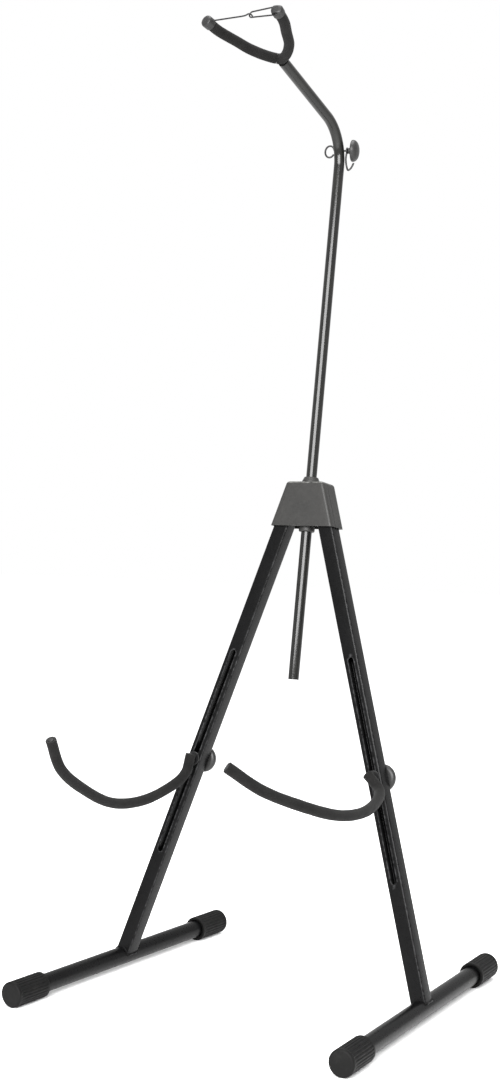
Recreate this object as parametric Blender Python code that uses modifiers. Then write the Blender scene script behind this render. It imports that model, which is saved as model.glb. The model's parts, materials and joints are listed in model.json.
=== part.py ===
"""Folding stand for a cello: an A-frame on two floor tubes, a sliding neck rod with a padded
yoke and wire latch, two padded body arms on slotted legs, and a bow holder.

Metres, +Z up. The stand faces -Y; the legs lie in a plane that leans back towards +Y.
"""
import math

import bmesh
import bpy
from mathutils import Matrix, Vector

# ---- driving dimensions ----
LEAN = math.radians(9.9)          # the leg plane leans back from vertical
SPLAY = math.radians(17.93)       # each leg leans in from the line up the leg plane
FOOT_SPREAD = 0.2373              # centre line to each floor tube, where its leg stands
FOOT_R = 0.0125
FOOT_WALL = 0.0015
FOOT_FRONT = 0.2397               # leg joint to the front face of the end cap
FOOT_BACK = 0.2268
CAP_R = 0.0173
CAP_LEN = 0.060
CAP_FLOOR = 0.005                 # thickness of the closed end of a cap
FLUTES = 26
FLUTE_DEPTH = 0.0009
LEG_W = 0.022
LEG_WALL = 0.0015
LEG_R = 0.0025
PIVOT = 0.6811                    # along the leg, from the axis of the floor tube
LEG_END = 0.0110                  # the leg's rounded top stays this close to its pivot
PIN_R = 0.003
SLOT_LOW, SLOT_HIGH, SLOT_W = 0.160, 0.468, 0.0085
HEAD_LOW, HEAD_HIGH = 0.6235, 0.6865      # up the leg plane
HEAD_HALF_LOW = 0.0497
HEAD_FRONT, HEAD_SEAM, HEAD_BACK = 0.0164, 0.0042, -0.0187
HEAD_WALL = 0.0018
ROD_R = 0.0075
ROD_WALL = 0.0013
ROD_LOW = 0.410                   # up the leg plane
ROD_SET_BACK = 0.0020             # rod centre line behind the leg plane
BEND_Y, BEND_Z = 0.2016, 1.1921   # corner of the rod's centre line, before the shift
BEND_R = 0.060
YOKE_Y, YOKE_Z = 0.0331, 1.2664
YOKE_PITCH = math.radians(19.8)
CORE_R = 0.0045
FOAM_R = 0.0072
FOAM_BORE = 0.0048
BAR_R = 0.0040
ARM_BOLT = {-1: 0.3030, 1: 0.3025}      # up each leg to the arm's stud
ARM_SWING = {-1: math.radians(-10.3), 1: math.radians(-31.5)}
ARM_TOE = 0.023                   # the arms close in slightly towards their tips
SHIFT_Y = 0.0438                  # puts the middle of the stand's footprint on the origin
GAP = 0.0003

U = Vector((0.0, math.sin(LEAN), math.cos(LEAN)))
BACK = Vector((0.0, math.cos(LEAN), -math.sin(LEAN)))
X = Vector((1.0, 0.0, 0.0))
ORIGIN = Vector((0.0, SHIFT_Y - 0.0059, CAP_R))
TOE = math.asin(math.sin(LEAN) * math.sin(SPLAY))

for old in list(bpy.data.objects):
    bpy.data.objects.remove(old, do_unlink=True)

parts = bpy.data.collections.new("cello_stand")
cutters = bpy.data.collections.new("cutters")
bpy.context.scene.collection.children.link(parts)
bpy.context.scene.collection.children.link(cutters)


def make_material(name, color, roughness, metallic):
    mat = bpy.data.materials.new(name)
    mat.use_nodes = True
    bsdf = mat.node_tree.nodes["Principled BSDF"]
    bsdf.inputs["Base Color"].default_value = (*color, 1.0)
    bsdf.inputs["Roughness"].default_value = roughness
    bsdf.inputs["Metallic"].default_value = metallic
    return mat


SATIN = make_material("satin_black_steel", (0.022, 0.022, 0.023), 0.42, 0.0)
GLOSS = make_material("gloss_black_steel", (0.010, 0.010, 0.011), 0.14, 0.0)
WIRE = make_material("black_wire", (0.035, 0.035, 0.038), 0.30, 0.6)
ZINC = make_material("plated_steel", (0.55, 0.56, 0.57), 0.30, 1.0)
RUBBER = make_material("ribbed_rubber", (0.028, 0.028, 0.028), 0.72, 0.0)
SHELL = make_material("head_plastic", (0.050, 0.049, 0.047), 0.48, 0.0)
KNOB = make_material("knob_plastic", (0.040, 0.040, 0.040), 0.50, 0.0)
FOAM = make_material("foam_sleeve", (0.033, 0.032, 0.032), 0.92, 0.0)


def frame(origin, x_axis, y_axis, z_axis):
    """World matrix of a frame given by its origin and three unit axes."""
    m = Matrix.Identity(4)
    for col, axis in enumerate((x_axis, y_axis, z_axis, origin)):
        for row in range(3):
            m[row][col] = axis[row]
    return m


def leg_frame(side, along):
    """Frame on a leg's centre line: x across, y to the back, z up the leg."""
    d = math.cos(SPLAY) * U - side * math.sin(SPLAY) * X
    s = math.cos(SPLAY) * X + side * math.sin(SPLAY) * U
    foot = ORIGIN + side * FOOT_SPREAD * X
    return frame(foot + along * d, s, BACK, d)


def foot_frame(side):
    """Frame on a floor tube where its leg stands: z runs along the tube to the back."""
    z = Vector((-side * math.sin(TOE), math.cos(TOE), 0.0))
    y = Vector((0.0, 0.0, 1.0))
    return frame(ORIGIN + side * FOOT_SPREAD * X, y.cross(z), y, z)


HEAD_M = frame(ORIGIN, X, BACK, U)                     # x right, y to the back, z up the plane


def add_part(name, mesh, matrix, mat, cutter=False):
    obj = bpy.data.objects.new(name, mesh)
    obj.matrix_world = matrix
    if cutter:
        cutters.objects.link(obj)
        obj.hide_render = True
        obj.display_type = "WIRE"
    else:
        mesh.materials.clear()
        mesh.materials.append(mat)
        parts.objects.link(obj)
    return obj


def cut(obj, tool, operation="DIFFERENCE"):
    mod = obj.modifiers.new("cut", "BOOLEAN")
    mod.operation = operation
    mod.solver = "EXACT"
    mod.object = tool


def curve_mesh(curve):
    """Mesh of a finished curve, with its caps joined to its sides."""
    obj = bpy.data.objects.new("tmp", curve)
    bpy.context.scene.collection.objects.link(obj)
    bpy.context.view_layer.update()
    mesh = bpy.data.meshes.new_from_object(obj)
    bpy.data.objects.remove(obj, do_unlink=True)
    bm = bmesh.new()
    bm.from_mesh(mesh)
    bmesh.ops.remove_doubles(bm, verts=bm.verts, dist=1e-6)
    bmesh.ops.recalc_face_normals(bm, faces=bm.faces)
    bm.to_mesh(mesh)
    bm.free()
    return mesh


def flat(name, outlines, thickness, middle=0.0):
    """Plate from closed outlines in its own xy plane, centred at z = middle."""
    curve = bpy.data.curves.new(name, "CURVE")
    curve.dimensions = "2D"
    curve.fill_mode = "BOTH"
    curve.extrude = thickness / 2
    for pts in outlines:
        spline = curve.splines.new("POLY")
        spline.points.add(len(pts) - 1)
        for point, (px, py) in zip(spline.points, pts):
            point.co = (px, py, 0.0, 1.0)
        spline.use_cyclic_u = True
    mesh = curve_mesh(curve)
    mesh.transform(Matrix.Translation((0.0, 0.0, middle)))
    return mesh


def sweep(name, pts, radius, sides=16):
    """Round bar along a list of points, with flat ends."""
    curve = bpy.data.curves.new(name, "CURVE")
    curve.dimensions = "3D"
    curve.bevel_depth = radius
    curve.bevel_resolution = sides // 4 - 2
    curve.use_fill_caps = True
    spline = curve.splines.new("POLY")
    spline.points.add(len(pts) - 1)
    for point, co in zip(spline.points, pts):
        point.co = (*co, 1.0)
    return curve_mesh(curve)


def turned(name, profile):
    """Solid of revolution about z from an (r, z) profile listed from top to bottom."""
    bm = bmesh.new()
    verts = [bm.verts.new((r, 0.0, z)) for r, z in profile]
    for a, b in zip(verts, verts[1:]):
        bm.edges.new((a, b))
    mesh = bpy.data.meshes.new(name)
    bm.to_mesh(mesh)
    bm.free()
    return mesh


def add_turned(name, profile, matrix, mat, steps=32, cutter=False):
    obj = add_part(name, turned(name, profile), matrix, mat, cutter)
    screw = obj.modifiers.new("turn", "SCREW")
    screw.steps = steps
    screw.render_steps = steps
    screw.use_merge_vertices = True
    screw.merge_threshold = 0.00001
    screw.use_normal_calculate = True
    return obj


def cylinder(name, radius, low, high, sides=24):
    bm = bmesh.new()
    bmesh.ops.create_cone(bm, cap_ends=True, segments=sides, radius1=radius, radius2=radius,
                          depth=high - low,
                          matrix=Matrix.Translation((0.0, 0.0, (low + high) / 2)))
    mesh = bpy.data.meshes.new(name)
    bm.to_mesh(mesh)
    bm.free()
    return mesh


def block(name, low, high):
    bm = bmesh.new()
    size = [h - l for l, h in zip(low, high)]
    mid = [(h + l) / 2 for l, h in zip(low, high)]
    bmesh.ops.create_cube(bm, size=1.0, matrix=Matrix.Translation(mid) @ Matrix.Diagonal((*size, 1)))
    mesh = bpy.data.meshes.new(name)
    bm.to_mesh(mesh)
    bm.free()
    return mesh


def round_rect(half_x, half_y, radius, steps=3):
    pts = []
    for cx, cy, start in ((1, 1, 0), (-1, 1, 90), (-1, -1, 180), (1, -1, 270)):
        for k in range(steps + 1):
            a = math.radians(start + 90 * k / steps)
            pts.append((cx * (half_x - radius) + radius * math.cos(a),
                        cy * (half_y - radius) + radius * math.sin(a)))
    return pts


def circle(radius, steps):
    return [(radius * math.cos(2 * math.pi * k / steps), radius * math.sin(2 * math.pi * k / steps))
            for k in range(steps)]


def rounded_path(corners, radius, steps=10):
    """Straight runs through the corner points, with a round bend at each inner corner."""
    pts = [Vector(corners[0])]
    for a, b, c in zip(corners, corners[1:], corners[2:]):
        a, b, c = Vector(a), Vector(b), Vector(c)
        din, dout = (b - a).normalized(), (c - b).normalized()
        turn = din.angle(dout)
        reach = radius * math.tan(turn / 2)
        start = b - din * reach
        inward = (dout - din * din.dot(dout)).normalized()
        for k in range(steps + 1):
            t = turn * k / steps
            pts.append(start + din * radius * math.sin(t) + inward * radius * (1 - math.cos(t)))
    pts.append(Vector(corners[-1]))
    return pts


def smooth_path(points, per_span=5):
    """Centripetal Catmull-Rom curve through the points."""
    pts = [Vector(p) for p in points]
    ends = [2 * pts[0] - pts[1]] + pts + [2 * pts[-1] - pts[-2]]
    out = []
    for i in range(1, len(ends) - 2):
        p0, p1, p2, p3 = ends[i - 1:i + 3]
        t0 = 0.0
        t1 = t0 + (p1 - p0).length ** 0.5
        t2 = t1 + (p2 - p1).length ** 0.5
        t3 = t2 + (p3 - p2).length ** 0.5
        for k in range(per_span):
            t = t1 + (t2 - t1) * k / per_span
            a1 = p0 * ((t1 - t) / (t1 - t0)) + p1 * ((t - t0) / (t1 - t0))
            a2 = p1 * ((t2 - t) / (t2 - t1)) + p2 * ((t - t1) / (t2 - t1))
            a3 = p2 * ((t3 - t) / (t3 - t2)) + p3 * ((t - t2) / (t3 - t2))
            b1 = a1 * ((t2 - t) / (t2 - t0)) + a2 * ((t - t0) / (t2 - t0))
            b2 = a2 * ((t3 - t) / (t3 - t1)) + a3 * ((t - t1) / (t3 - t1))
            out.append(b1 * ((t2 - t) / (t2 - t1)) + b2 * ((t - t1) / (t2 - t1)))
    out.append(pts[-1])
    return out


def extended(pts, before, after):
    """The path with its ends run on straight, for a bore that must pass right through."""
    first = pts[0] + (pts[0] - pts[1]).normalized() * before
    last = pts[-1] + (pts[-1] - pts[-2]).normalized() * after
    return [first] + list(pts) + [last]


# ---- floor tubes and their end caps ----
for side, word in ((-1, "left"), (1, "right")):
    fm = foot_frame(side)
    inner_front = -(FOOT_FRONT - CAP_FLOOR - GAP)
    inner_back = FOOT_BACK - CAP_FLOOR - GAP
    tube = flat("tube", [circle(FOOT_R, 40), circle(FOOT_R - FOOT_WALL, 40)],
                inner_back - inner_front, (inner_front + inner_back) / 2)
    add_part("foot_tube_" + word, tube, fm, SATIN)
    fluted = []
    for k in range(FLUTES):
        for frac, drop in ((0.0, 0.0), (0.55, 0.0), (0.70, 1.0), (0.85, 1.0)):
            a = 2 * math.pi * (k + frac) / FLUTES
            r = CAP_R - FLUTE_DEPTH * drop
            fluted.append((r * math.cos(a), r * math.sin(a)))
    for end, name in ((-1, "front"), (1, "back")):
        reach = FOOT_FRONT if end < 0 else FOOT_BACK
        body = flat("cap", [fluted], CAP_LEN - 0.003, end * (reach - 0.003 - (CAP_LEN - 0.003) / 2))
        cap = add_part("foot_cap_" + word + "_" + name, body, fm, RUBBER)
        rim = add_turned("cap_nose_" + word + name,
                         [(0.0, 0.0), (CAP_R - 0.0026, 0.0), (CAP_R - 0.0010, -0.0008),
                          (CAP_R - 0.0003, -0.0024), (CAP_R - 0.0003, -0.0060), (0.0, -0.0060)],
                         fm @ Matrix.Translation((0, 0, end * reach))
                         @ (Matrix.Identity(4) if end > 0 else Matrix.Rotation(math.pi, 4, "X")),
                         None, 40, True)
        cut(cap, rim, "UNION")
        bore = add_part("cap_bore_" + word + name,
                        cylinder("cap_bore", FOOT_R + GAP, min(0.0, end * (reach - CAP_FLOOR)),
                                 max(0.0, end * (reach - CAP_FLOOR)), 40), fm, None, True)
        cut(cap, bore)

# ---- slotted legs ----
for side, word in ((-1, "left"), (1, "right")):
    lm = leg_frame(side, PIVOT)
    tube = flat("leg", [round_rect(LEG_W / 2, LEG_W / 2, LEG_R),
                        round_rect(LEG_W / 2 - LEG_WALL, LEG_W / 2 - LEG_WALL, 0.001)],
                PIVOT + LEG_END, (LEG_END - PIVOT) / 2)
    leg = add_part("leg_" + word, tube, lm, SATIN)
    cope = add_part("leg_cope_" + word, cylinder("cope", FOOT_R + GAP, -0.05, 0.05, 40),
                    foot_frame(side), None, True)
    cut(leg, cope)
    low = add_part("leg_under_" + word, block("under", (-0.03, -0.05, -0.05), (0.03, 0.05, 0.0)),
                   foot_frame(side) @ Matrix.Rotation(math.radians(-90), 4, "X"), None, True)
    cut(leg, low)
    half = SLOT_W / 2
    outline = []
    for cz, start in ((SLOT_HIGH - half, 0), (SLOT_LOW + half, 180)):
        for k in range(7):
            a = math.radians(start + 30 * k)
            outline.append((half * math.cos(a), cz - PIVOT + half * math.sin(a)))
    slot = add_part("leg_slot_" + word, flat("slot", [outline], 0.05),
                    lm @ Matrix.Rotation(math.radians(90), 4, "X"), None, True)
    cut(leg, slot)
    for turn in (-60, -30, 30, 60):
        corner = add_part("leg_corner_%s_%d" % (word, turn + 60), block(
            "leg_corner", (-0.03, -0.03, LEG_END), (0.03, 0.03, 0.04)),
            lm @ Matrix.Rotation(math.radians(turn), 4, "Y"), None, True)
        cut(leg, corner)
    hole = add_part("leg_hole_" + word, cylinder("hole", PIN_R + GAP, -0.03, 0.03, 20),
                    lm @ Matrix.Rotation(math.radians(90), 4, "X"), None, True)
    cut(leg, hole)

# ---- head: two shells over the leg tops, pivot pins and the rod bush ----
slope = math.tan(SPLAY)
HEAD_HALF_HIGH = HEAD_HALF_LOW - (HEAD_HIGH - HEAD_LOW) * slope
TO_PLANE = Matrix.Rotation(math.radians(90), 4, "X")    # flat xy outline -> the leg plane


def trapezoid(low, high, half_low, half_high, y_front, y_back, bevel_face, radius):
    """Tapered box in head axes, rounded along its four sides and round one face."""
    bm = bmesh.new()
    ring = [(-half_low, low), (half_low, low), (half_high, high), (-half_high, high)]
    front = [bm.verts.new((x, y_front, z)) for x, z in ring]
    rear = [bm.verts.new((x, y_back, z)) for x, z in ring]
    bm.faces.new(front)
    bm.faces.new(rear[::-1])
    for i in range(4):
        j = (i + 1) % 4
        bm.faces.new((front[i], rear[i], rear[j], front[j]))
    bmesh.ops.recalc_face_normals(bm, faces=bm.faces)
    if radius:
        sides = [e for e in bm.edges if abs(e.verts[0].co.y - e.verts[1].co.y) > 1e-4]
        face_y = y_front if bevel_face < 0 else y_back
        rim = [e for e in bm.edges if all(abs(v.co.y - face_y) < 1e-6 for v in e.verts)]
        bmesh.ops.bevel(bm, geom=sides + rim, offset=radius, segments=4, profile=0.5,
                        affect="EDGES")
    mesh = bpy.data.meshes.new("trapezoid")
    bm.to_mesh(mesh)
    bm.free()
    return mesh


inset = HEAD_WALL / math.cos(SPLAY)
cavity_high = HEAD_HIGH - 0.0035
cavity = add_part("head_cavity", trapezoid(
    HEAD_LOW - 0.02, cavity_high, HEAD_HALF_LOW - inset + 0.02 * slope,
    HEAD_HALF_LOW - inset - (cavity_high - HEAD_LOW) * slope,
    -(LEG_W / 2 + 0.0009), LEG_W / 2 + 0.0009, 0, 0.0), HEAD_M, None, True)
BUSH_R = 0.0112
bush_hole = add_part("bush_hole", cylinder("bush_hole", BUSH_R + GAP, 0.60, 0.72, 32),
                     HEAD_M @ Matrix.Translation((0, ROD_SET_BACK, 0)), None, True)
CLAMP_Z = 0.655
clamp_hole = add_part("clamp_hole", cylinder("clamp_hole", 0.0033, 0.0, 0.04, 20),
                      HEAD_M @ Matrix.Translation((0, ROD_SET_BACK, CLAMP_Z))
                      @ Matrix.Rotation(math.radians(-90), 4, "X"), None, True)
for name, y0, y1, face in (("head_front", -HEAD_FRONT, -HEAD_SEAM - GAP / 2, -1),
                           ("head_back", -HEAD_SEAM + GAP / 2, -HEAD_BACK, 1)):
    shell = add_part(name, trapezoid(HEAD_LOW, HEAD_HIGH, HEAD_HALF_LOW, HEAD_HALF_HIGH,
                                     y0, y1, face, 0.0036), HEAD_M, SHELL)
    cut(shell, cavity)
    cut(shell, bush_hole)
    if face > 0:
        cut(shell, clamp_hole)

for side, word in ((-1, "left"), (1, "right")):
    add_part("pivot_pin_" + word,
             cylinder("pin", PIN_R, -(LEG_W / 2 + 0.0006), LEG_W / 2 + 0.0006, 20),
             leg_frame(side, PIVOT) @ TO_PLANE, ZINC)

bush = add_turned("rod_bush",
                  [(ROD_R + GAP, HEAD_HIGH + 0.0078), (0.0098, HEAD_HIGH + 0.0078),
                   (0.0103, HEAD_HIGH + 0.0072), (0.0126, HEAD_HIGH + 0.0018),
                   (0.0126, HEAD_HIGH + GAP), (BUSH_R, HEAD_HIGH + GAP),
                   (BUSH_R, HEAD_LOW - 0.0050), (0.0104, HEAD_LOW - 0.0065),
                   (ROD_R + GAP, HEAD_LOW - 0.0065), (ROD_R + GAP, HEAD_HIGH + 0.0078)],
                  HEAD_M @ Matrix.Translation((0, ROD_SET_BACK, 0)), SHELL, 40)
cut(bush, clamp_hole)

clamp_m = (HEAD_M @ Matrix.Translation((0, ROD_SET_BACK, CLAMP_Z))
           @ Matrix.Rotation(math.radians(-90), 4, "X"))


def round_knob(radius, face, depth, lobes=0):
    """Profile of a mushroom knob: stem side at z = face, dome outward."""
    return [(0.0, face + depth), (radius * 0.45, face + depth - depth * 0.05),
            (radius * 0.75, face + depth * 0.86), (radius * 0.93, face + depth * 0.66),
            (radius, face + depth * 0.40), (radius * 0.97, face + depth * 0.16),
            (radius * 0.88, face), (0.0, face)]


back_face = -HEAD_BACK - ROD_SET_BACK
stud = cylinder("clamp_stud", 0.0029, ROD_R + 0.0004, back_face + 0.012, 20)
add_part("clamp_stud", stud, clamp_m, ZINC)
clamp = add_turned("clamp_knob", round_knob(0.0150, back_face + 0.0030, 0.0150), clamp_m, KNOB, 28)
stud_bore = add_part("clamp_stud_bore", cylinder("clamp_stud_bore", 0.0029 + GAP, 0.0,
                                                 back_face + 0.012 + GAP, 20), clamp_m, None, True)
cut(clamp, stud_bore)

# ---- neck rod ----
rod_low = HEAD_M @ Vector((0, ROD_SET_BACK, ROD_LOW))
corner = Vector((0, BEND_Y + SHIFT_Y, BEND_Z))
base = Vector((0, YOKE_Y + SHIFT_Y, YOKE_Z))
up = (base - corner).normalized()
rod_line = HEAD_M @ Vector((0, ROD_SET_BACK, 1.0)) - rod_low
rod_axis = rod_line.normalized()
along = (corner - rod_low).dot(rod_axis)
corner = rod_low + rod_axis * along
rod_top = base - (base - corner).normalized() * (CORE_R + 0.0009)
ROD_ORIGIN = HEAD_M @ Vector((0, ROD_SET_BACK, CLAMP_Z))
rod_m = frame(ROD_ORIGIN, X, BACK, U)
to_rod = rod_m.inverted()


def in_frame(matrix, pts):
    return [matrix @ Vector(p) for p in pts]


rod_path = in_frame(to_rod, rounded_path([rod_low, corner, rod_top], BEND_R, 12))
rod = add_part("neck_rod", sweep("neck_rod", rod_path, ROD_R, 24), rod_m, GLOSS)
rod_bore = add_part("rod_bore", sweep("rod_bore", extended(rod_path, 0.01, 0.01),
                                      ROD_R - ROD_WALL, 16), rod_m, None, True)
cut(rod, rod_bore)

# ---- bow holder: cross screw with an eye, a wire hook and a knob ----
BOW_Z = 1.1687
bow_along = (BOW_Z - rod_low.z) / rod_axis.z
bow_point = rod_low + rod_axis * bow_along
BOW_TURN = math.radians(17.0)
bow_x = Vector((math.cos(BOW_TURN), math.sin(BOW_TURN) * BACK.y, math.sin(BOW_TURN) * BACK.z))
bow_up = U.copy()
bow_m = frame(bow_point, bow_up.cross(bow_x) * -1.0, bow_up, bow_x)
cross_hole = add_part("bow_hole", cylinder("bow_hole", 0.0016 + GAP, -0.02, 0.02, 16), bow_m,
                      None, True)
cut(rod, cross_hole)

eye = []
for k in range(23):
    a = math.radians(-168 + 336 * k / 22)
    eye.append(Vector((0, -0.0085 * math.sin(a) - 0.0015, -(0.0155 + 0.0066 * math.cos(a)))))
eye_path = [Vector((0, 0, 0.0262)), Vector((0, 0, 0.0)), Vector((0, 0, -0.0079))] + eye[:-1]
add_part("bow_eye", sweep("bow_eye", eye_path, 0.0013, 8), bow_m, WIRE)

hook_ring = [Vector((0.0036 * math.cos(a), 0.0036 * math.sin(a), 0.0098))
             for a in (math.radians(-60 + 290 * k / 12) for k in range(13))]
hook_ring.reverse()
hook = hook_ring + smooth_path([(0.0022, -0.0056, 0.0097), (0.0010, -0.0130, 0.0092),
                                (0.0, -0.0235, 0.0112), (0.0, -0.0285, 0.0136),
                                (0.0, -0.0268, 0.0166), (0.0, -0.0215, 0.0196),
                                (0.0, -0.0180, 0.0208)], 3)
add_part("bow_hook", sweep("bow_hook", hook, 0.0013, 8), bow_m, WIRE)
bow_knob = add_turned("bow_knob",
                      [(0.0, 0.0272), (0.0060, 0.0268), (0.0110, 0.0252), (0.0142, 0.0226),
                       (0.0155, 0.0196), (0.0155, 0.0172), (0.0148, 0.0163), (0.0052, 0.0163),
                       (0.0045, 0.0157), (0.0045, 0.0116), (0.0, 0.0116)], bow_m, KNOB, 28)
knob_bore = add_part("bow_knob_bore", cylinder("bow_knob_bore", 0.0013 + GAP, 0.0,
                                               0.0300, 16), bow_m, None, True)
cut(bow_knob, knob_bore)

# ---- padded yoke ----
fore = Vector((0, -math.cos(YOKE_PITCH), math.sin(YOKE_PITCH)))
yoke_m = frame(base, X, fore, X.cross(fore))
HALF = [(0.0, 0.0), (0.0123, 0.0087), (0.0294, 0.0309), (0.0400, 0.0566), (0.0500, 0.0820),
        (0.0541, 0.1077)]
side_path = smooth_path([(x, y, 0) for x, y in HALF], 5)
core_path = [Vector((-p.x, p.y, 0)) for p in side_path[:0:-1]] + side_path
TRIM = 0.0095                       # the caps cover the last of the bar


def trimmed(pts, start, end):
    """The part of a path between two distances along it."""
    out, run = [], 0.0
    for a, b in zip(pts, pts[1:]):
        step = (b - a).length
        for limit in (start, end):
            if run < limit < run + step:
                out.append(a.lerp(b, (limit - run) / step))
        if start < run + step < end:
            out.append(b)
        run += step
    if start <= 0.0:
        out.insert(0, pts[0])
    return out


def length(pts):
    return sum((b - a).length for a, b in zip(pts, pts[1:]))


half_len = length(side_path)
core = add_part("yoke_core", sweep("yoke_core", trimmed(core_path, 0.0060, 2 * half_len - 0.0060),
                                   CORE_R, 16), yoke_m, SATIN)
clear = add_part("rod_clear", sweep("rod_clear", in_frame(yoke_m.inverted(), [
    base - up * 0.03, base]), ROD_R + GAP, 24), yoke_m, None, True)
for side, word, start in ((-1, "left", 0.0062), (1, "right", 0.0)):
    path = [Vector((side * p.x, p.y, 0)) for p in side_path]
    if side > 0:
        path = [Vector((-p.x, p.y, 0)) for p in side_path[3:0:-1]] + path
        extra = length(path) - half_len
        begin = extra - 0.0059
    else:
        begin = start
        extra = 0.0
    run = trimmed(path, begin, extra + half_len - TRIM)
    foam = add_part("yoke_foam_" + word, sweep("foam", run, FOAM_R, 20), yoke_m, FOAM)
    bore = add_part("yoke_bore_" + word, sweep("bore", extended(run, 0.004, 0.006), FOAM_BORE, 16),
                    yoke_m, None, True)
    cut(foam, bore)
    cut(foam, clear)
cut(core, clear)

CORE_SHORT = 0.0060                 # the bar stops inside the cap, short of the yoke's tip
CAP_PROFILE = [(0.0, 0.0030), (0.0046, 0.0029), (0.0072, 0.0020), (0.0082, 0.0006),
               (0.0082, -0.0091), (0.0048, -0.0091), (0.0048, -CORE_SHORT + GAP),
               (0.0, -CORE_SHORT + GAP)]
HINGE_Z = -0.0015                   # latch hinge line, along the cap from the yoke's tip
FLAT = 0.0050
WIRE_R = 0.0010
hinge = {}
for side, word in ((-1, "left"), (1, "right")):
    tip = Vector((side * side_path[-1].x, side_path[-1].y, 0))
    prev = Vector((side * side_path[-2].x, side_path[-2].y, 0))
    z = (tip - prev).normalized()
    y = Vector((0, 0, 1))
    tm = yoke_m @ frame(tip, y.cross(z), y, z)
    cap = add_turned("yoke_cap_" + word, CAP_PROFILE, tm, KNOB, 28)
    hinge[side] = tm @ Vector((0, 0, HINGE_Z))
    if side < 0:
        kerf = add_part("cap_kerf", block("kerf", (-0.012, -WIRE_R - GAP, -0.0054),
                                          (WIRE_R + GAP, WIRE_R + GAP, 0.012)), tm, None, True)
        cut(cap, kerf)
        well = add_part("cap_well", cylinder("well", WIRE_R + GAP, 0.0, 0.0045, 12),
                        tm @ Matrix.Translation((0, 0, HINGE_Z)) @ Matrix.Rotation(-math.pi / 2, 4, "X"),
                        None, True)
        cut(cap, well)
    else:
        for face in (-1, 1):
            flat_cut = add_part("cap_flat_%d" % (face + 1), block(
                "cap_flat", (-0.012, min(face * FLAT, face * 0.012), -0.0062),
                (0.012, max(face * FLAT, face * 0.012), 0.012)), tm, None, True)
            cut(cap, flat_cut)
            well = add_part("loop_well_%d" % (face + 1), cylinder("well", WIRE_R + GAP, 0.0026, 0.012, 12),
                            tm @ Matrix.Translation((0, 0, HINGE_Z))
                            @ Matrix.Rotation(-face * math.pi / 2, 4, "X"), None, True)
            cut(cap, well)

# wire latch across the mouth: a hooked wire on the left cap, a long loop on the right cap
reach = (hinge[1] - hinge[-1]).length
LOOP_LEN = 0.0420
LOOP_HALF = 0.0042
loop_m = frame(hinge[1], X, fore, X.cross(fore))
hook_m = frame(hinge[-1], X, fore, X.cross(fore))
upper = [Vector((0.0, 0.0, 0.0030)), Vector((0.0, 0.0, 0.0058)), Vector((-0.0008, 0.0, 0.0065)),
         Vector((-0.0030, 0.0, 0.0065))]
bow = [Vector((-LOOP_LEN + LOOP_HALF - LOOP_HALF * math.sin(a), 0.0, LOOP_HALF * math.cos(a)))
       for a in (math.pi * k / 10 for k in range(11))]
lower = [Vector((p.x, p.y, -p.z)) for p in reversed(upper)]
add_part("latch_loop", sweep("latch_loop", upper + bow + lower, WIRE_R, 8), loop_m, WIRE)
catch = reach - LOOP_LEN            # the loop's round end, from the hook's hinge
hook_pts = [(0.0, 0.0, 0.0042), (0.0, 0.0, 0.0010), (0.0003, 0.0, 0.0003), (0.0010, 0.0, 0.0),
            (catch - 0.0080, 0.0, 0.0), (catch - 0.0032, 0.0013, 0.0), (catch - 0.0014, 0.0022, 0.0),
            (catch + 0.0003, 0.0024, 0.0), (catch + 0.0016, 0.0020, 0.0),
            (catch + 0.0024, 0.0009, 0.0), (catch + 0.0025, -0.0006, 0.0),
            (catch + 0.0025, -0.0034, 0.0)]
add_part("latch_hook", sweep("latch_hook", [Vector(p) for p in hook_pts], WIRE_R, 8), hook_m, WIRE)

# ---- body arms: a bent bar through the slot, its foam sleeve, a washer and a knob behind ----
ARM_UN = [(0.0180, 0.0222), (0.0275, 0.0300), (0.0410, 0.0535), (0.0613, 0.1154),
          (0.0657, 0.1882), (0.0487, 0.2584), (0.0219, 0.3198), (-0.0139, 0.3525)]
for side, word in ((-1, "left"), (1, "right")):
    lm = leg_frame(side, ARM_BOLT[side])
    # arm axes: x across, y to the back, z up against the drop of the arm
    am = lm @ Matrix.Rotation(ARM_SWING[side], 4, "Y")
    elbow = rounded_path([(0.0, 0.0285, 0.0), (0.0, -0.0212, 0.0), (0.0, -0.0222, -0.0180)],
                         0.0060, 5)[:-1]
    curve = smooth_path([(-side * ARM_TOE * (n - 0.0222), -n, -u) for u, n in ARM_UN], 5)
    bar_path = elbow + trimmed(curve, 0.0, length(curve) - 0.0030)
    add_part("arm_bar_" + word, sweep("arm_bar", bar_path, BAR_R, 12), am, SATIN)
    stud_m = lm @ Matrix.Rotation(math.radians(-90), 4, "X")      # z runs to the back
    add_turned("arm_washer_" + word,
               [(BAR_R + GAP, -0.0113), (0.0092, -0.0113), (0.0095, -0.0116), (0.0095, -0.0124),
                (0.0090, -0.0129), (BAR_R + GAP, -0.0129), (BAR_R + GAP, -0.0113)],
               stud_m, ZINC, 24)
    knob = add_turned("arm_knob_" + word, round_knob(0.0190, 0.0114, 0.0135), stud_m, KNOB, 28)
    knob_hole = add_part("arm_knob_hole_" + word, cylinder("arm_knob_hole", BAR_R + GAP, 0.0, 0.05, 20),
                         stud_m, None, True)
    cut(knob, knob_hole)
    sleeve = [Vector((0.0, -0.0212, 0.0058)), Vector((0.0, -0.0216, -0.0075))] + curve
    foam = add_part("arm_foam_" + word, sweep("arm_foam", sleeve, FOAM_R, 20), am, FOAM)
    bore = add_part("foam_bore_" + word, sweep("foam_bore", elbow[1:] + trimmed(
        curve, 0.0, length(curve) - 0.0027), BAR_R + 0.0004, 16), am, None, True)
    stud_way = add_part("foam_stud_" + word, cylinder("foam_stud", BAR_R + 0.0004, -0.0200, 0.0, 16),
                        stud_m, None, True)
    cut(foam, bore)
    cut(foam, stud_way)

bpy.context.view_layer.update()
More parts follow.
